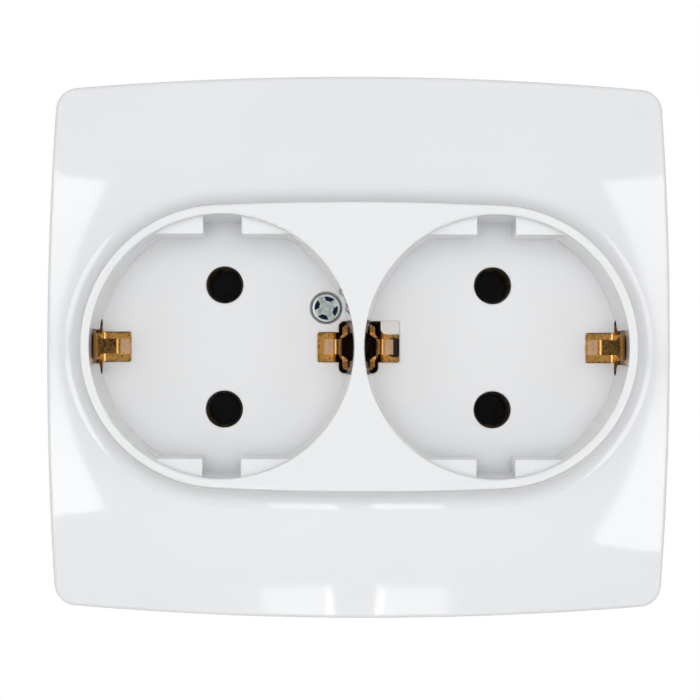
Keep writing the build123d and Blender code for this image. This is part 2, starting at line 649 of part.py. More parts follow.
def build_base_rivets():
    rivets = []
    for x in (-BASE_RIVET_X, BASE_RIVET_X):
        for z in (-BASE_RIVET_Z, BASE_RIVET_Z):
            head = rod(x, z, RIVET_HEAD_RADIUS, FRAME_THICKNESS, FRAME_THICKNESS + RIVET_HEAD_HEIGHT)
            crown = head.edges().filter_by(GeomType.CIRCLE).sort_by(Axis.Y)[0]
            head = fillet(crown, RIVET_HEAD_HEIGHT * HEAD_ROUNDING)
            rivets.append(head + rod(x, z, RIVET_RADIUS, -RIVET_LENGTH, FRAME_THICKNESS))
    return Compound(rivets)


# Live bars with their pin contacts

def pin_contact(x):
    """Rolled tube, slit from the front into two jaws, joined to the bar over the depth that both share."""
    back = -(CONTACT_START + CONTACT_LENGTH)
    front = -CONTACT_START
    tube = rod(x, PIN_OFFSET, CONTACT_OUTER, back, front)
    tube -= rod(x, PIN_OFFSET, CONTACT_BORE, back, front)
    rings = tube.edges().filter_by(GeomType.CIRCLE)
    mouth = rings.filter_by(lambda e: abs(e.radius - CONTACT_BORE) < MATCH)
    tube = chamfer(mouth.sort_by(Axis.Y)[0], CONTACT_MOUTH_FLARE)
    half = CONTACT_SLOT / 2
    slit_end = front - CONTACT_LENGTH * CONTACT_SLIT_SHARE
    reach = CONTACT_OUTER + CUT_PAST
    tube -= block(x - half, x + half, PIN_OFFSET - reach, PIN_OFFSET + reach, slit_end, front)
    neck_half = CONTACT_BORE
    neck_back = max(back, -BAR_START - BAR_WIDTH)
    neck = block(x - neck_half, x + neck_half, PIN_OFFSET, BAR_OFFSET + BAR_SHEET / 2,
                 neck_back, slit_end - SHEET_PLAY)
    return tube + (neck - rod(x, PIN_OFFSET, CONTACT_BORE + CONTACT_SHEET / 2, back, front))


def build_line_busbar():
    bar = block(-BAR_HALF_LENGTH, BAR_HALF_LENGTH, BAR_OFFSET, BAR_OFFSET + BAR_SHEET,
                -BAR_START - BAR_WIDTH, -BAR_START)
    bar = fillet(bar.edges().filter_by(Axis.Z), BAR_SHEET)
    for side in (-1, 1):
        bar += pin_contact(side * WELL_OFFSET)
    return bar - upright_rod(-TERMINAL_X, TERMINAL_DEPTH, TERMINAL_SCREW_HOLE,
                             BAR_OFFSET - CUT_PAST, BAR_OFFSET + BAR_SHEET + CUT_PAST)


def build_contact_spring(x, z):
    """Open ring of wire round the jaws, its gap turned away from the bar."""
    ring_radius = CONTACT_OUTER + SPRING_WIRE / 2 + SPRING_PLAY
    ring_depth = CONTACT_START + SPRING_SETBACK
    section = Plane(origin=(x + ring_radius, ring_depth, z), z_dir=(0, 0, 1)) * Circle(SPRING_WIRE / 2)
    axis = Axis((x, ring_depth, z), (0, 1, 0))
    ring = revolve(section, axis, 360 - SPRING_GAP_ANGLE)
    bar_side = 90 if z > 0 else -90
    return ring.rotate(axis, bar_side + SPRING_GAP_ANGLE / 2)


# Earth strap and clips

def clip_outline(leg_x, reach_sign):
    """Tip to foot of one outer clip, as points of its outer side in X and height."""
    bend_x = leg_x - CLIP_BRIDGE_REACH
    tip_x = bend_x - CLIP_FACET_REACH
    bend = CLIP_TOP - CLIP_BRIDGE_FALL
    low = bend - CLIP_FACET_FALL
    curl = (tip_x + CLIP_CURL_REACH, low - CLIP_CURL_FALL)
    points = [curl, (tip_x, low), (bend_x, bend), (leg_x, CLIP_TOP)]
    return [(reach_sign * x, height) for x, height in points]


def build_earth_strap():
    leg_x = WELL_OFFSET + CLIP_LEG_OFFSET + STRAP_THICKNESS / 2
    well_x = STRAP_WELL_HALF_WIDTH
    foot = [(-leg_x, STRAP_BACK), (-well_x, STRAP_BACK), (-well_x, -STRAP_WELL_DEPTH)]
    left = clip_outline(leg_x, -1) + foot
    right = [(-x, height) for x, height in reversed(left)]
    path = left + right
    half_radii = [STRAP_BEND_RADIUS] * 3 + [CLIP_FOOT_RADIUS, STRAP_THICKNESS, STRAP_BEND_RADIUS]
    side_plane = Plane(origin=(0, 0, 0), x_dir=(1, 0, 0), z_dir=(0, 0, -1))
    profile = side_plane * strip(path, half_radii + half_radii[::-1], STRAP_THICKNESS)
    strap = extrude(profile, amount=CLIP_SHOULDER_WIDTH / 2, both=True)

    shoulder_top = FLOOR_FRONT - CLIP_SHOULDER_DROP
    inner_x = leg_x - STRAP_THICKNESS - CLIP_SHOULDER_DROP
    outline = slab(Rectangle(2 * inner_x, STRAP_WIDTH), -STRAP_WELL_DEPTH, shoulder_top)
    half_leg = CLIP_LEG_WIDTH / 2
    half_tongue = CLIP_TONGUE_WIDTH / 2
    waist = leg_x - CLIP_WAIST_REACH
    for side in (-1, 1):
        ends = sorted((side * inner_x, side * (leg_x + CUT_PAST)))
        outline += block(ends[0], ends[1], -CLIP_SHOULDER_WIDTH, CLIP_SHOULDER_WIDTH, 0, shoulder_top)
        tongue = make_face(Polyline(
            (side * (leg_x + CUT_PAST), half_leg),
            (side * (leg_x - STRAP_THICKNESS), half_leg),
            (side * waist, half_tongue),
            (side * WELL_OFFSET, half_tongue),
            (side * WELL_OFFSET, -half_tongue),
            (side * waist, -half_tongue),
            (side * (leg_x - STRAP_THICKNESS), -half_leg),
            (side * (leg_x + CUT_PAST), -half_leg),
            close=True,
        ))
        waists = [v for v in tongue.vertices() if abs(abs(v.X) - waist) < MATCH]
        tongue = fillet(waists, CLIP_WAIST_RADIUS)
        outline += slab(tongue, shoulder_top, RIM_TOP)
    strap &= outline

    tab_points = [
        (0, STRAP_BACK),
        (EARTH_TAB_Z, STRAP_BACK),
        (EARTH_TAB_Z, -EARTH_TAB_DEPTH),
        (BAR_OFFSET, -EARTH_TAB_DEPTH),
        (BAR_OFFSET, -EARTH_TERMINAL_DEPTH - CLAMP_WIDTH / 2),
    ]
    radii = [STRAP_THICKNESS, STRAP_BEND_RADIUS, STRAP_THICKNESS]
    tab_plane = Plane(origin=(EARTH_TAB_X, 0, 0), x_dir=(0, 0, 1), z_dir=(1, 0, 0))
    tab_profile = tab_plane * strip(tab_points, radii, STRAP_THICKNESS)
    tab = extrude(tab_profile, amount=EARTH_TAB_WIDTH / 2, both=True)
    half_pad = CLAMP_LENGTH / 2
    tab += block(TERMINAL_X - half_pad, TERMINAL_X + half_pad, BAR_OFFSET, BAR_OFFSET + STRAP_THICKNESS,
                 -EARTH_TERMINAL_DEPTH - CLAMP_WIDTH / 2, -EARTH_TERMINAL_DEPTH + CLAMP_WIDTH / 2)
    strap += tab
    strap -= upright_rod(TERMINAL_X, EARTH_TERMINAL_DEPTH, TERMINAL_SCREW_HOLE,
                         BAR_OFFSET - CUT_PAST, BAR_OFFSET + STRAP_THICKNESS + CUT_PAST)
    strap -= rod(STRAP_HOLE_X, 0, STRAP_HOLE_RADIUS, STRAP_BACK - CUT_PAST, STRAP_FRONT + CUT_PAST)
    return strap - rod(0, 0, EARTH_RIVET_RADIUS + RIVET_PLAY, -STRAP_WELL_DEPTH, 0)


def build_inner_earth_clip():
    """One folded spring with a sprung tongue on each side of the web."""
    foot = -STRAP_WELL_DEPTH + STRAP_THICKNESS
    wing_top = RIM_TOP - INNER_WING_TOP_DROP
    half_wing = INNER_WING_WIDTH / 2
    half_tongue = CLIP_TONGUE_WIDTH / 2
    wing_x, leg_x = INNER_WING_X, INNER_LEG_X
    step = leg_x - wing_x
    upper = [
        (-wing_x + INNER_WING_CURL, half_wing),
        (-wing_x, half_wing - 2 * INNER_WING_CURL),
        (-wing_x, half_tongue + step + INNER_WING_SHOULDER),
        (-leg_x, half_tongue + INNER_WING_SHOULDER),
    ]
    plan = upper + [(x, -z) for x, z in reversed(upper)]
    wing = slab(strip(plan, INNER_BEND_RADIUS, INNER_SHEET), foot + INNER_WING_FOOT, wing_top)

    tip_x = INNER_TIP_X - INNER_SHEET
    crest = RIM_TOP - INNER_CREST_DROP
    low = crest - INNER_FACET_FALL
    side = [
        (-(tip_x - CLIP_CURL_REACH), low - CLIP_CURL_FALL),
        (-tip_x, low),
        (-(leg_x + INNER_CREST_LAND), crest),
        (-leg_x, crest),
        (-leg_x, foot),
    ]
    half_radii = [INNER_BEND_RADIUS, INNER_CREST_RADIUS, INNER_CREST_RADIUS, INNER_BEND_RADIUS]
    path = side + [(-x, height) for x, height in reversed(side)]
    side_plane = Plane(origin=(0, 0, 0), x_dir=(1, 0, 0), z_dir=(0, 0, -1))
    profile = side_plane * strip(path, half_radii + half_radii[::-1], INNER_SHEET)
    tongues = extrude(profile, amount=half_tongue, both=True)
    clip = tongues + wing + wing.mirror(Plane.YZ)
    return clip - rod(0, 0, EARTH_RIVET_RADIUS + RIVET_PLAY, foot - CUT_PAST, foot + CUT_PAST)


def build_earth_rivet():
    head_low = -STRAP_WELL_DEPTH + STRAP_THICKNESS + INNER_SHEET
    tail_high = -STRAP_WELL_DEPTH
    rivet = rod(0, 0, RIVET_HEAD_RADIUS, head_low, head_low + RIVET_HEAD_HEIGHT)
    rivet += rod(0, 0, EARTH_RIVET_RADIUS, tail_high, head_low)
    return rivet + rod(0, 0, RIVET_HEAD_RADIUS, tail_high - RIVET_HEAD_HEIGHT, tail_high)


# Terminals

def clamp_bottom(sheet):
    return BAR_OFFSET + sheet + CLAMP_OPEN


def build_clamp(x, depth, sheet):
    """Saddle with a lip down each end."""
    low = clamp_bottom(sheet)
    half_x, half_y = CLAMP_LENGTH / 2, CLAMP_WIDTH / 2
    saddle = block(x - half_x, x + half_x, low, low + CLAMP_THICKNESS, -depth - half_y, -depth + half_y)
    for side in (-1, 1):
        ends = sorted((x + side * half_x, x + side * (half_x - CLAMP_LIP)))
        saddle += block(ends[0], ends[1], low - CLAMP_LIP, low, -depth - half_y, -depth + half_y)
    top = saddle.faces().sort_by(Axis.Z)[-1]
    saddle = chamfer(top.edges(), CLAMP_THICKNESS / 4)
    return saddle - upright_rod(x, depth, TERMINAL_SCREW_HOLE,
                                low - CUT_PAST, low + CLAMP_THICKNESS + CUT_PAST)


def build_terminal_screw(x, depth, sheet):
    seat = clamp_bottom(sheet) + CLAMP_THICKNESS
    length = seat - BAR_OFFSET + TERMINAL_SCREW_TAIL
    screw = pan_screw(TERMINAL_HEAD_RADIUS, TERMINAL_HEAD_HEIGHT, TERMINAL_SCREW_RADIUS, length)
    return Pos(x, depth, seat) * screw


# Spreading claws

def build_claw():
    """Two rounded shoulders, a tapped bridge and a toothed arm, for the top of the box."""
    pivot = FRAME_THICKNESS / 2
    side_plane = Plane(origin=(0, 0, 0), x_dir=(0, 0, 1), z_dir=(1, 0, 0))
    cheek = Pos(CLAW_Z, pivot) * Circle(CLAW_PIVOT_RADIUS)
    neck_length = CLAW_BRIDGE_DEPTH + pivot
    cheek += Pos(CLAW_Z, pivot - neck_length / 2) * Rectangle(CLAW_NECK_WIDTH, neck_length)
    claw = Part()
    for start in (-CLAW_HALF_WIDTH, CLAW_HALF_WIDTH - CLAW_SHEET):
        claw += Pos(start, 0, 0) * extrude(side_plane * cheek, amount=CLAW_SHEET)
    bridge_back = -CLAW_BRIDGE_DEPTH - CLAW_BRIDGE_THICKNESS
    claw += block(-CLAW_HALF_WIDTH, CLAW_HALF_WIDTH, CLAW_Z - CLAW_BRIDGE_HALF_HEIGHT,
                  CLAW_Z + CLAW_BRIDGE_HALF_HEIGHT, bridge_back, -CLAW_BRIDGE_DEPTH)
    claw -= rod(0, CLAW_Z, CLAW_SCREW_HOLE, bridge_back, -CLAW_BRIDGE_DEPTH)
    root = CLAW_Z + CLAW_BRIDGE_HALF_HEIGHT
    arm_half = CLAW_HALF_WIDTH - CLAW_SHEET
    arm_face = make_face(Polyline(
        (root - CLAW_SHEET / 2, -CLAW_BRIDGE_DEPTH - CLAW_SHEET),
        (root, -CLAW_BRIDGE_DEPTH - CLAW_SHEET),
        (CLAW_ARM_Z + CLAW_SHEET, -CLAW_ARM_DEPTH),
        (CLAW_ARM_Z, -CLAW_ARM_DEPTH),
        close=True,
    ))
    arm = extrude(side_plane * arm_face, amount=arm_half, both=True)
    pitch = 2 * arm_half / CLAW_TEETH
    for i in range(CLAW_TEETH + 1):
        x = -arm_half + i * pitch
        notch = Pos(x, CLAW_ARM_DEPTH) * Rectangle(CLAW_TOOTH, CLAW_TOOTH, rotation=45)
        arm -= extrude(notch, amount=2 * CLAW_ARM_Z)
    return claw + arm


def build_claw_screw():
    seat = FRAME_THICKNESS + CLAW_SCREW_LIFT
    screw = pan_screw(CLAW_HEAD_RADIUS, CLAW_HEAD_HEIGHT, CLAW_SCREW_RADIUS, seat + CLAW_SCREW_END)
    return Pos(0, -seat, CLAW_Z) * screw.rotate(Axis.X, 90)


def build_nodes():
    """Every node by name."""
    line_bar = build_line_busbar()
    claw = build_claw()
    claw_screw = build_claw_screw()
    line_clamp = build_clamp(-TERMINAL_X, TERMINAL_DEPTH, BAR_SHEET)
    line_screw = build_terminal_screw(-TERMINAL_X, TERMINAL_DEPTH, BAR_SHEET)
    nodes = {
        "cover": build_cover(),
        "cover_screw": build_cover_screw(),
        "cover_screw_insert": build_cover_screw_insert(),
        "front_plate": build_front_plate(),
        "support_frame": build_support_frame(),
        "base": build_base(),
        "base_rivets": build_base_rivets(),
        "line_busbar": line_bar,
        "neutral_busbar": turned_half(line_bar),
        "earth_strap": build_earth_strap(),
        "inner_earth_clip": build_inner_earth_clip(),
        "earth_rivet": build_earth_rivet(),
        "line_clamp": line_clamp,
        "line_terminal_screw": line_screw,
        "neutral_clamp": turned_half(line_clamp),
        "neutral_terminal_screw": turned_half(line_screw),
        "earth_clamp": build_clamp(TERMINAL_X, EARTH_TERMINAL_DEPTH, STRAP_THICKNESS),
        "earth_terminal_screw": build_terminal_screw(TERMINAL_X, EARTH_TERMINAL_DEPTH, STRAP_THICKNESS),
        "claw_top": claw,
        "claw_screw_top": claw_screw,
        "claw_bottom": turned_half(claw),
        "claw_screw_bottom": turned_half(claw_screw),
    }
    for x, z in pin_places():
        row = "line" if z > 0 else "neutral"
        column = "left" if x < 0 else "right"
        nodes[f"contact_spring_{row}_{column}"] = build_contact_spring(x, z)
    return nodes


def main():
    os.makedirs("parts", exist_ok=True)
    for name, shape in build_nodes().items():
        export_step(shape, f"parts/{name}.step")


main()
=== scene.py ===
import math

import bmesh
import bpy
from mathutils import Matrix, Vector


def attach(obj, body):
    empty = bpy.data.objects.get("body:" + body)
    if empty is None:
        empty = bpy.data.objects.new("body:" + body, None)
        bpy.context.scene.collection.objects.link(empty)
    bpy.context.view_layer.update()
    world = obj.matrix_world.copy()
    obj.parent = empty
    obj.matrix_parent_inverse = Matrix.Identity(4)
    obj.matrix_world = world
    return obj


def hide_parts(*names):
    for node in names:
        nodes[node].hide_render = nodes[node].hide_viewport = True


MM = 0.001

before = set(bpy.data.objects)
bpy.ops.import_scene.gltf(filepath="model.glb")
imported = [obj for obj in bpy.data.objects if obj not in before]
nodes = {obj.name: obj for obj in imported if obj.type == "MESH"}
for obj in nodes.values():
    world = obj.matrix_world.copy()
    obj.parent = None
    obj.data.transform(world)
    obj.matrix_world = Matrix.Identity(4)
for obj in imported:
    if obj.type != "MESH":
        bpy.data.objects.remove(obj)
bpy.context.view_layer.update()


# Shader helpers

def new_material(name):
    material = bpy.data.materials.new(name)
    material.use_nodes = True
    tree = material.node_tree
    return material, tree, tree.nodes["Principled BSDF"]


def add(tree, kind, **values):
    """New node, its named inputs set to constants."""
    node = tree.nodes.new(kind)
    for key, value in values.items():
        node.inputs[key.replace("_", " ")].default_value = value
    return node


def separate(tree, vector):
    """The X, Y and Z sockets of a vector."""
    parts = tree.nodes.new("ShaderNodeSeparateXYZ")
    tree.links.new(vector, parts.inputs["Vector"])
    return parts.outputs["X"], parts.outputs["Y"], parts.outputs["Z"]


def coordinates(tree, space):
    return tree.nodes.new("ShaderNodeTexCoord").outputs[space]


def object_noise(tree, scale, detail, roughness=0.5, stretch=None):
    """Noise over the object's own space, in metres, finer along an axis where stretch is above 1."""
    place = coordinates(tree, "Object")
    if stretch:
        mapping = add(tree, "ShaderNodeMapping", Scale=stretch)
        tree.links.new(place, mapping.inputs["Vector"])
        place = mapping.outputs["Vector"]
    noise = add(tree, "ShaderNodeTexNoise", Scale=scale, Detail=detail, Roughness=roughness)
    tree.links.new(place, noise.inputs["Vector"])
    return noise.outputs[0]


def remap(tree, value, low_in, high_in, low_out, high_out):
    """Value taken from one range to another, and held inside it."""
    node = add(tree, "ShaderNodeMapRange", From_Min=low_in, From_Max=high_in, To_Min=low_out, To_Max=high_out)
    tree.links.new(value, node.inputs["Value"])
    return node.outputs["Result"]


def calculate(tree, operation, first, second=None):
    """Socket of a math node over one or two sockets or numbers."""
    node = tree.nodes.new("ShaderNodeMath")
    node.operation = operation
    for index, value in enumerate((first, second)):
        if value is None:
            continue
        if isinstance(value, (int, float)):
            node.inputs[index].default_value = value
        else:
            tree.links.new(value, node.inputs[index])
    return node.outputs["Value"]


def weighted_sum(tree, first, first_share, second, second_share):
    first_part = calculate(tree, "MULTIPLY", first, first_share)
    second_part = calculate(tree, "MULTIPLY", second, second_share)
    return calculate(tree, "ADD", first_part, second_part)


def mix(tree, factor, first, second):
    """Colour between a first one, constant or a socket, and a constant second one."""
    node = tree.nodes.new("ShaderNodeMixRGB")
    if isinstance(first, tuple):
        node.inputs["Color1"].default_value = (*first, 1)
    else:
        tree.links.new(first, node.inputs["Color1"])
    node.inputs["Color2"].default_value = (*second, 1)
    tree.links.new(factor, node.inputs["Fac"])
    return node.outputs["Color"]


def grey_ramp(tree, value, stops):
    """Grey over a value, from (place, grey) pairs."""
    ramp = tree.nodes.new("ShaderNodeValToRGB")
    elements = ramp.color_ramp.elements
    while len(elements) < len(stops):
        elements.new(0.5)
    for element, (place, grey) in zip(elements, stops):
        element.position = place
        element.color = (grey, grey, grey, 1)
    tree.links.new(value, ramp.inputs["Fac"])
    return ramp.outputs["Color"]


def bump(tree, shader, height, strength, distance):
    node = add(tree, "ShaderNodeBump", Strength=strength, Distance=distance)
    tree.links.new(height, node.inputs["Height"])
    tree.links.new(node.outputs["Normal"], shader.inputs["Normal"])


# Plastics

NOISE_SPAN = (0.3, 0.7)
WHITE_SHADES = ((0.796, 0.806, 0.818), (0.808, 0.817, 0.828))
WHITE_SHADE_SPAN = (0.35, 0.65)
WHITE_ROUGHNESS = (0.035, 0.07)
WHITE_DULL_SPAN = (0.35, 0.75)
WHITE_IOR = 1.5


def glossy_white():
    """Polished white moulding with a faint waviness and a few duller spots."""
    material, tree, shader = new_material("cover_plastic")
    shade = object_noise(tree, scale=35, detail=3)
    colour = mix(tree, remap(tree, shade, *WHITE_SHADE_SPAN, 0, 1), *WHITE_SHADES)
    tree.links.new(colour, shader.inputs["Base Color"])
    dull = object_noise(tree, scale=420, detail=5, roughness=0.6)
    tree.links.new(remap(tree, dull, *WHITE_DULL_SPAN, *WHITE_ROUGHNESS), shader.inputs["Roughness"])
    shader.inputs["IOR"].default_value = WHITE_IOR
    bump(tree, shader, object_noise(tree, scale=110, detail=2), strength=0.03, distance=0.0002)
    return material


def matt_plastic(name, shades, roughness, grain=900):
    """Dull moulding with a fine spark-eroded grain."""
    material, tree, shader = new_material(name)
    shade = object_noise(tree, scale=60, detail=4)
    tree.links.new(mix(tree, remap(tree, shade, *NOISE_SPAN, 0, 1), *shades), shader.inputs["Base Color"])
    grit = object_noise(tree, scale=grain, detail=6, roughness=0.6)
    tree.links.new(remap(tree, grit, *NOISE_SPAN, *roughness), shader.inputs["Roughness"])
    bump(tree, shader, grit, strength=0.25, distance=0.0001)
    return material


# Metals

def metal(name, shades, roughness, stretch, line_scale, line_strength, mark_scale):
    """Rolled or turned metal with lines along its working direction."""
    material, tree, shader = new_material(name)
    shader.inputs["Metallic"].default_value = 1.0
    marks = object_noise(tree, scale=mark_scale, detail=4)
    tree.links.new(mix(tree, remap(tree, marks, *NOISE_SPAN, 0, 1), *shades), shader.inputs["Base Color"])
    lines = object_noise(tree, scale=line_scale, detail=4, roughness=0.6, stretch=stretch)
    tree.links.new(remap(tree, lines, *NOISE_SPAN, *roughness), shader.inputs["Roughness"])
    bump(tree, shader, lines, line_strength, distance=0.00005)
    return material


HEAD_X = -0.00495
HEAD_Z = 0.0060
HEAD_TOP = -0.0049
HEAD_TURN = math.radians(28)
# Radius from which the head's rounded edge is painted black, as shade of the gap around the head.
PAINTED_SHADE_RADIUS = 0.00207
PATCH_FROM_ARM = 0.00052
PATCH_INNER = 0.00108
PATCH_OUTER = 0.00178
PATCH_FADE_START = 0.00001
PATCH_FADE_END = 0.00005
SOFT_EDGE = 0.00004
SILVER_SHADES = ((0.60, 0.67, 0.62), (0.90, 0.93, 0.92))
# Dark blue of the four flat patches: a blue passivation tint, darkened as a painted reflection of the dim
# room on the camera's side.
PATCH_BLUE_AND_REFLECTION = (0.10, 0.24, 0.44)
# Painted shade: black for the shadow in the narrow gap between the head and its hole.
PAINTED_GAP_SHADE = (0.02, 0.02, 0.025)
SILVER_METALLIC = 0.62
SILVER_ROUGHNESS = 0.34
PATCH_ROUGHNESS = 0.16


def soft_step(tree, value, edge, before, after):
    """One number before an edge and another after it, with a narrow blend."""
    return remap(tree, value, edge - SOFT_EDGE, edge + SOFT_EDGE, before, after)


# Mask of the painted dark reflection on the head's flat patches.
def blue_reflection_patch(tree, off_x, off_z, radius, depth):
    """1 on the four patches between the arms of the driver recess, on the head's top, and 0 elsewhere."""
    cosine, sine = math.cos(HEAD_TURN), math.sin(HEAD_TURN)
    along = calculate(tree, "ABSOLUTE", weighted_sum(tree, off_x, cosine, off_z, sine))
    over = calculate(tree, "ABSOLUTE", weighted_sum(tree, off_z, cosine, off_x, -sine))
    clear_of_arms = soft_step(tree, calculate(tree, "MINIMUM", along, over), PATCH_FROM_ARM, 0, 1)
    on_top = remap(tree, depth, HEAD_TOP + PATCH_FADE_START, HEAD_TOP + PATCH_FADE_END, 1, 0)
    inside = soft_step(tree, radius, PATCH_OUTER, 1, 0)
    outside = soft_step(tree, radius, PATCH_INNER, 0, 1)
    upper = calculate(tree, "MULTIPLY", clear_of_arms, on_top)
    ring = calculate(tree, "MULTIPLY", inside, outside)
    return calculate(tree, "MULTIPLY", upper, ring)


def screw_head_metal():
    """Silvery driver recess and rim, four blue patches between the arms darkened as a painted reflection, and
    a black side as painted shade of the gap around the head.
    """
    material, tree, shader = new_material("cover_screw_steel")
    x, depth, z = separate(tree, coordinates(tree, "Object"))
    off_x = calculate(tree, "SUBTRACT", x, HEAD_X)
    off_z = calculate(tree, "SUBTRACT", z, HEAD_Z)
    squares = [calculate(tree, "POWER", offset, 2) for offset in (off_x, off_z)]
    radius = calculate(tree, "SQRT", calculate(tree, "ADD", *squares))
    patch = blue_reflection_patch(tree, off_x, off_z, radius, depth)
    # Painted shade: 1 on the head's outer edge, which is turned black for the gap's shadow.
    side = remap(tree, radius, PAINTED_SHADE_RADIUS, PAINTED_SHADE_RADIUS + 2 * SOFT_EDGE, 0, 1)
    wear = object_noise(tree, scale=1500, detail=5, roughness=0.7)
    silver = mix(tree, remap(tree, wear, *NOISE_SPAN, 0, 1), *SILVER_SHADES)
    # Painted reflection: the flat patches darkened to blue, as if they mirrored the dim room.
    top = mix(tree, patch, silver, PATCH_BLUE_AND_REFLECTION)
    # Painted shade: the outer edge goes black for the shadow in the gap around the head.
    tree.links.new(mix(tree, side, top, PAINTED_GAP_SHADE), shader.inputs["Base Color"])
    tree.links.new(calculate(tree, "MAXIMUM", patch, SILVER_METALLIC), shader.inputs["Metallic"])
    roughness = remap(tree, patch, 0, 1, SILVER_ROUGHNESS, PATCH_ROUGHNESS)
    tree.links.new(roughness, shader.inputs["Roughness"])
    bump(tree, shader, wear, strength=0.25, distance=0.00004)
    return material


GILT_SPAN = (-0.0044, -0.0034)
# Depths over which the bronze is painted near black as the shade inside the strap's well.
WELL_SHADE_SPAN = (-0.0012, 0.0)
BRONZE_SHADES = ((0.45, 0.218, 0.055), (0.59, 0.31, 0.095))
GILT = (0.92, 0.55, 0.15)
PAINTED_WELL_SHADE = (0.04, 0.025, 0.012)
GILT_METALLIC = 0.7
BRONZE_ROUGHNESS = (0.19, 0.39)


def aged_bronze():
    """Brown bronze on the sprung clips, brighter gold on the strap behind the floor, and painted shade, near
    black, in the well.
    """
    material, tree, shader = new_material("earth_bronze")
    depth = separate(tree, coordinates(tree, "Object"))[1]
    behind_floor = remap(tree, depth, *GILT_SPAN, 0, 1)
    well_shade = remap(tree, depth, *WELL_SHADE_SPAN, 0, 1)
    marks = object_noise(tree, scale=260, detail=4)
    brown = mix(tree, remap(tree, marks, *NOISE_SPAN, 0, 1), *BRONZE_SHADES)
    gilt = mix(tree, behind_floor, brown, GILT)
    # Painted shade: the bronze goes near black in the well, where shade falls.
    tree.links.new(mix(tree, well_shade, gilt, PAINTED_WELL_SHADE), shader.inputs["Base Color"])
    tree.links.new(remap(tree, behind_floor, 0, 1, 1.0, GILT_METALLIC), shader.inputs["Metallic"])
    lines = object_noise(tree, scale=1800, detail=4, roughness=0.6, stretch=(1, 2, 1))
    tree.links.new(remap(tree, lines, *NOISE_SPAN, *BRONZE_ROUGHNESS), shader.inputs["Roughness"])
    bump(tree, shader, lines, strength=0.35, distance=0.00005)
    return material


# Materials of the nodes

WHITE = glossy_white()
# Painted shade: the front plate is made near black so that what shows of it below the floor, through the
# windows, comes out as dark as shade.
INSULATOR_AS_SHADE = matt_plastic(
    "insulator_plastic",
    shades=((0.012, 0.012, 0.013), (0.022, 0.022, 0.023)),
    roughness=(0.42, 0.60),
)
DARK_BASE = matt_plastic(
    "base_plastic",
    shades=((0.018, 0.018, 0.020), (0.030, 0.030, 0.032)),
    roughness=(0.47, 0.65),
)
ZINC_SHEET = metal(
    "frame_steel",
    shades=((0.56, 0.58, 0.59), (0.72, 0.73, 0.73)),
    roughness=(0.28, 0.48),
    stretch=(1, 6, 1),
    line_scale=300,
    line_strength=0.12,
    mark_scale=140,
)
COVER_SCREW_ZINC = screw_head_metal()
ZINC_SCREW = metal(
    "screw_steel",
    shades=((0.55, 0.60, 0.66), (0.76, 0.78, 0.76)),
    roughness=(0.16, 0.36),
    stretch=(1, 1, 1),
    line_scale=900,
    line_strength=0.1,
    mark_scale=400,
)
BRASS = metal(
    "contact_brass",
    shades=((0.70, 0.47, 0.17), (0.83, 0.60, 0.27)),
    roughness=(0.20, 0.40),
    stretch=(1, 8, 1),
    line_scale=500,
    line_strength=0.1,
    mark_scale=120,
)
BRONZE = aged_bronze()

NODE_MATERIALS = {
    "cover": (WHITE, "cover_plastic"),
    "front_plate": (INSULATOR_AS_SHADE, "insulator_plastic"),
    "base": (DARK_BASE, "base_plastic"),
    "support_frame": (ZINC_SHEET, "frame_steel"),
    "claw_top": (ZINC_SHEET, "frame_steel"),
    "claw_bottom": (ZINC_SHEET, "frame_steel"),
    "line_busbar": (BRASS, "contact_brass"),
    "neutral_busbar": (BRASS, "contact_brass"),
    "earth_rivet": (BRONZE, "contact_brass"),
    "cover_screw_insert": (BRASS, "contact_brass"),
    "cover_screw": (COVER_SCREW_ZINC, "screw_steel"),
    "earth_strap": (BRONZE, "earth_bronze"),
    "inner_earth_clip": (BRONZE, "earth_bronze"),
}
for name, node in nodes.items():
    material, slot_name = NODE_MATERIALS.get(name, (ZINC_SCREW, "screw_steel"))
    node.data.materials.clear()
    node.data.materials.append(material)


def show_instead(mesh, name, body):
    """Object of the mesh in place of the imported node, on the same body."""
    piece = bpy.data.objects.new(mesh.name, mesh)
    bpy.context.scene.collection.objects.link(piece)
    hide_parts(name)
    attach(piece, body)


# Threads

THREAD_SIDES = 32
THREAD_STEPS = 8
THREAD_DEPTH = 0.00030
THREAD_RUNOUT = 0.0005
THREAD_TIP = 0.0005
CREST_SHARE = 0.08
FLANK_SHARE = 0.34
BELOW_SEAT = 0.00001
ROUND_SHANK = 0.00005


def thread_radius(radius, pitch, length, along, turn):
    """Radius of a coarse thread, eased in below the head and chamfered at the tip."""
    phase = (along / pitch - turn) % 1.0
    from_crest = min(phase, 1.0 - phase)
    cut = min(max((from_crest - CREST_SHARE) / FLANK_SHARE, 0.0), 1.0)
    depth = THREAD_DEPTH * min(along / THREAD_RUNOUT, 1.0)
    past_tip = max(along - (length - THREAD_TIP), 0.0)
    return min(radius - depth * cut, radius - past_tip)


def remove_shank(shape, seat, down, radius):
    shank = []
    for face in shape.faces:
        reach = face.calc_center_median() - seat
        along = reach.dot(down)
        if along > BELOW_SEAT and (reach - along * down).length < radius + ROUND_SHANK:
            shank.append(face)
    bmesh.ops.delete(shape, geom=shank, context="FACES")


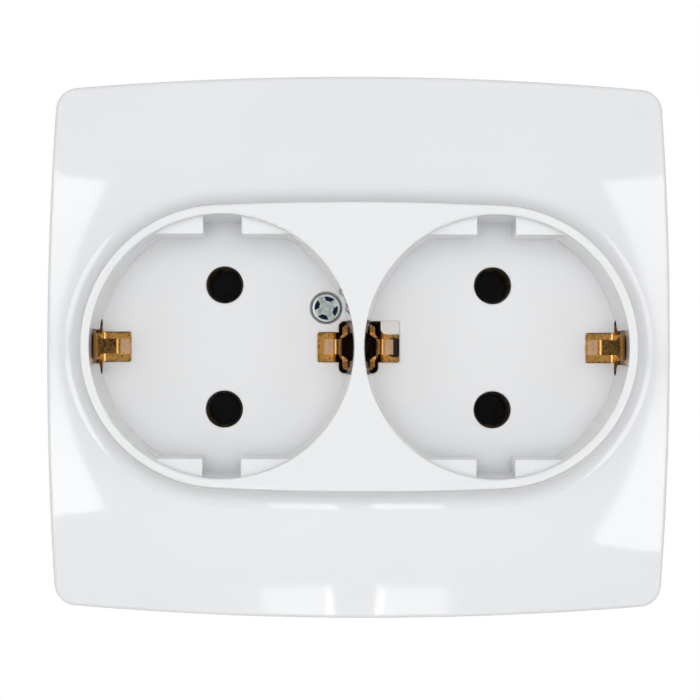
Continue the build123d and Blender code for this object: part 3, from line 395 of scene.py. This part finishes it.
def add_thread(shape, seat, down, radius, length, pitch):
    """Rings of vertices down the shank, joined by smooth faces and closed at the tip."""
    across = down.orthogonal().normalized()
    over = down.cross(across)
    rings = []
    rows = math.ceil(length / pitch * THREAD_STEPS)
    for row in range(rows + 1):
        along = length * row / rows
        ring = []
        for side in range(THREAD_SIDES):
            turn = side / THREAD_SIDES
            angle = 2 * math.pi * turn
            outward = across * math.cos(angle) + over * math.sin(angle)
            reach = thread_radius(radius, pitch, length, along, turn)
            ring.append(shape.verts.new(seat + down * along + outward * reach))
        rings.append(ring)
    for first, second in zip(rings, rings[1:]):
        for side in range(THREAD_SIDES):
            after = (side + 1) % THREAD_SIDES
            face = shape.faces.new((first[side], first[after], second[after], second[side]))
            face.smooth = True
    shape.faces.new(rings[-1])


def threaded_screw(name, seat, down, radius, length, pitch):
    """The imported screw's head with a threaded shank in place of its plain one."""
    mesh = nodes[name].data.copy()
    mesh.name = name + "_threaded"
    seat, down = Vector(seat), Vector(down)
    shape = bmesh.new()
    shape.from_mesh(mesh)
    remove_shank(shape, seat, down, radius)
    add_thread(shape, seat, down, radius, length, pitch)
    bmesh.ops.recalc_face_normals(shape, faces=shape.faces)
    shape.to_mesh(mesh)
    shape.free()
    show_instead(mesh, name, name)


CLAW_SCREW_DEPTH = -0.0019
CLAW_SCREW_OFFSET = 0.0225
CLAW_SCREW = {"down": (0, 1, 0), "radius": 0.00175, "length": 0.0219, "pitch": 0.0006}
TERMINAL_SCREW = {"radius": 0.00172, "pitch": 0.0006}
TERMINAL_SHANKS = {
    "line": {"seat": (-0.010, 0.0080, 0.0176), "down": (0, 0, -1), "length": 0.0076},
    "neutral": {"seat": (0.010, 0.0080, -0.0176), "down": (0, 0, 1), "length": 0.0076},
    "earth": {"seat": (0.010, 0.0185, 0.0173), "down": (0, 0, -1), "length": 0.0073},
}
for end, z in (("top", CLAW_SCREW_OFFSET), ("bottom", -CLAW_SCREW_OFFSET)):
    threaded_screw(f"claw_screw_{end}", (0, CLAW_SCREW_DEPTH, z), **CLAW_SCREW)
for terminal, shank in TERMINAL_SHANKS.items():
    threaded_screw(f"{terminal}_terminal_screw", **shank, **TERMINAL_SCREW)


# Wings of the inner earth clip

WING_START = 0.0014
WING_FULL = 0.0019
WING_FLARE = 0.00042
WING_EDGE_DEPTH = 0.0003
WEB_SIDE_LEAN = 0.1


def flared_wings(name):
    """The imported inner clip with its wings' front edges turned out towards the web, as the photo shows."""
    mesh = nodes[name].data.copy()
    mesh.name = name + "_flared"
    wings = [v for v in mesh.vertices if abs(v.co.z) > WING_START]
    edge = min(v.co.y for v in wings) + WING_EDGE_DEPTH
    web_side = {tuple(v.co) for v in wings if v.normal.x * math.copysign(1, v.co.x) < -WEB_SIDE_LEAN}
    for vertex in wings:
        if vertex.co.y < edge and tuple(vertex.co) in web_side:
            share = min((abs(vertex.co.z) - WING_START) / (WING_FULL - WING_START), 1.0)
            vertex.co.x -= math.copysign(WING_FLARE * share, vertex.co.x)
            vertex.co.y += WING_FLARE * share
    show_instead(mesh, name, "housing")


flared_wings("inner_earth_clip")


# Floor and world

FLOOR_SIZE = 0.9
FLOOR_HEIGHT = -0.60
FLOOR_SHADES = ((0.80, 0.80, 0.80), (0.83, 0.83, 0.83))
FLOOR_ROUGHNESS = (0.72, 0.90)
AMBIENT_BY_HEIGHT = [(0.0, 0.76), (0.15, 0.58), (0.38, 0.28), (0.62, 0.27), (0.85, 0.44), (1.0, 0.58)]
MIRRORED_BY_DEPTH = [(0.0, 0.05), (0.03, 0.08), (0.12, 0.40), (0.5, 0.65), (0.7, 1.0)]


def pale_floor():
    half = FLOOR_SIZE / 2
    mesh = bpy.data.meshes.new("floor")
    corners = [(-half, -half, 0), (half, -half, 0), (half, half, 0), (-half, half, 0)]
    mesh.from_pydata(corners, [], [(0, 1, 2, 3)])
    mesh.materials.append(matt_plastic("floor_paper", FLOOR_SHADES, FLOOR_ROUGHNESS, grain=300))
    floor = bpy.data.objects.new("floor", mesh)
    floor.location = (0, 0, FLOOR_HEIGHT)
    bpy.context.scene.collection.objects.link(floor)


def graded_background(tree, value, stops):
    background = tree.nodes.new("ShaderNodeBackground")
    tree.links.new(grey_ramp(tree, value, stops), background.inputs["Color"])
    return background.outputs["Background"]


def blend_shaders(tree, factor, first, second):
    node = tree.nodes.new("ShaderNodeMixShader")
    tree.links.new(factor, node.inputs["Fac"])
    tree.links.new(first, node.inputs[1])
    tree.links.new(second, node.inputs[2])
    return node.outputs["Shader"]


def white_world():
    """White behind the object, in reflections a room that is dim on the camera's side, and soft light.

    The soft light is strongest from below, then from above."""
    world = bpy.data.worlds.new("studio")
    bpy.context.scene.world = world
    world.use_nodes = True
    tree = world.node_tree
    seen = tree.nodes["Background"]
    seen.inputs["Color"].default_value = (1, 1, 1, 1)
    seen.inputs["Strength"].default_value = 1.0
    _, inward, upward = separate(tree, coordinates(tree, "Generated"))
    ambient = graded_background(tree, remap(tree, upward, -1, 1, 0, 1), AMBIENT_BY_HEIGHT)
    mirrored = graded_background(tree, remap(tree, inward, -1, 1, 0, 1), MIRRORED_BY_DEPTH)
    path = tree.nodes.new("ShaderNodeLightPath")
    glossy = calculate(tree, "MAXIMUM", path.outputs["Is Glossy Ray"], path.outputs["Is Transmission Ray"])
    lit = blend_shaders(tree, glossy, ambient, mirrored)
    shown = blend_shaders(tree, path.outputs["Is Camera Ray"], lit, seen.outputs["Background"])
    tree.links.new(shown, tree.nodes["World Output"].inputs["Surface"])


pale_floor()
white_world()


# Lamps

LEFT_SHEEN = [(0.0, 0.82), (0.3, 0.85), (0.5, 0.5), (0.65, 0.7), (1.0, 0.75)]
RIGHT_SHEEN = [(0.0, 0.72), (0.35, 0.78), (0.5, 0.45), (0.7, 0.62), (1.0, 0.65)]
LOW_SHEEN = [(0.0, 1.0), (0.5, 0.8), (0.8, 0.5), (1.0, 0.42)]
LOW_EDGE_SHEEN = [(0.0, 0.2), (0.7, 0.3), (0.9, 1.0), (1.0, 0.6)]
LEFT_BITE = {"side": 1, "width": 0.135, "height": 0.46}
RIGHT_BITE = {"side": 0, "width": 0.17, "height": 0.48}
BITE_ROUNDNESS = 1.2
BITE_BLUR = 0.08


def bitten(tree, x, y, side, width, height):
    """0 in a pointed bite into the panel's upright side at x = 0 or 1, halfway up, and 1 elsewhere."""
    across = remap(tree, x, side - width, side + width, -1, 1)
    up = remap(tree, y, 0.5 - height, 0.5 + height, -1, 1)
    shares = [calculate(tree, "ABSOLUTE", offset) for offset in (across, up)]
    powers = [calculate(tree, "POWER", share, BITE_ROUNDNESS) for share in shares]
    return remap(tree, calculate(tree, "ADD", *powers), 1 - BITE_BLUR, 1 + BITE_BLUR, 0, 1)


def grade(light, levels, bite):
    light.use_nodes = True
    tree = light.node_tree
    emission = tree.nodes["Emission"]
    x, y, _ = separate(tree, coordinates(tree, "UV"))
    tree.links.new(grey_ramp(tree, y, levels), emission.inputs["Color"])
    if bite:
        tree.links.new(bitten(tree, x, y, **bite), emission.inputs["Strength"])


def soft_box(name, azimuth, elevation, distance, width, height, radiance, levels=None, bite=None):
    """Lamp panel that faces the object; azimuth to the right of the camera's side, elevation up.

    A panel with levels, which grade it from foot to head, only shows in gloss. One without only lights."""
    a, e = math.radians(azimuth), math.radians(elevation)
    towards = Vector((math.sin(a) * math.cos(e), -math.cos(a) * math.cos(e), math.sin(e)))
    light = bpy.data.lights.new(name, "AREA")
    light.shape = "RECTANGLE"
    light.size = width
    light.size_y = height
    light.energy = radiance * math.pi * width * height
    if levels:
        grade(light, levels, bite)
    lamp = bpy.data.objects.new(name, light)
    lamp.location = towards * distance
    lamp.rotation_euler = towards.to_track_quat("Z", "Y").to_euler()
    lamp.visible_glossy = bool(levels)
    lamp.visible_diffuse = not levels
    bpy.context.scene.collection.objects.link(lamp)


SIDE_PANEL = {"distance": 0.85, "width": 0.47, "radiance": 4.4}
LOW_PANEL = {"elevation": -47.5, "distance": 0.80, "height": 0.43, "radiance": 5.0}
LOW_AZIMUTH = 6.8
LOW_EDGE_AZIMUTH = 2.9
soft_box("key_left", azimuth=-38, elevation=1, distance=0.85, width=0.50, height=0.68, radiance=1.12)
soft_box("key_right", azimuth=38, elevation=-1, distance=0.85, width=0.50, height=0.70, radiance=0.98)
soft_box("fill_front", azimuth=0, elevation=2, distance=0.90, width=0.50, height=0.45, radiance=5.50)
soft_box(
    "sheen_left",
    azimuth=-42,
    elevation=0.5,
    height=0.72,
    levels=LEFT_SHEEN,
    bite=LEFT_BITE,
    **SIDE_PANEL,
)
soft_box(
    "sheen_right",
    azimuth=41.5,
    elevation=-1.5,
    height=0.79,
    levels=RIGHT_SHEEN,
    bite=RIGHT_BITE,
    **SIDE_PANEL,
)
for side, name in ((-1, "left"), (1, "right")):
    edge = f"sheen_low_{name}_edge"
    soft_box(f"sheen_low_{name}", side * LOW_AZIMUTH, width=0.095, levels=LOW_SHEEN, **LOW_PANEL)
    soft_box(edge, side * LOW_EDGE_AZIMUTH, width=0.010, levels=LOW_EDGE_SHEEN, **LOW_PANEL)


# Camera, as it stood for the photograph

CAMERA_PLACE_MM = (-4.13, -620.7, -4.05)
CAMERA_AIM_MM = (-1.38, -22.5, -0.51)
CAMERA_ROLL_DEG = 0.175
CAMERA_LENS = 206.85
SENSOR_WIDTH = 36
CLIP_START = 0.01
CLIP_END = 10


def photo_camera():
    data = bpy.data.cameras.new("camera")
    data.lens = CAMERA_LENS
    data.sensor_width = SENSOR_WIDTH
    data.clip_start = CLIP_START
    data.clip_end = CLIP_END
    camera = bpy.data.objects.new("camera", data)
    place = Vector(CAMERA_PLACE_MM) * MM
    aim = Vector(CAMERA_AIM_MM) * MM
    turn = (aim - place).to_track_quat("-Z", "Y").to_matrix().to_4x4()
    roll = Matrix.Rotation(math.radians(CAMERA_ROLL_DEG), 4, "Z")
    camera.matrix_world = Matrix.Translation(place) @ turn @ roll
    bpy.context.scene.collection.objects.link(camera)
    bpy.context.scene.camera = camera


photo_camera()
bpy.context.scene.view_settings.view_transform = "Standard"
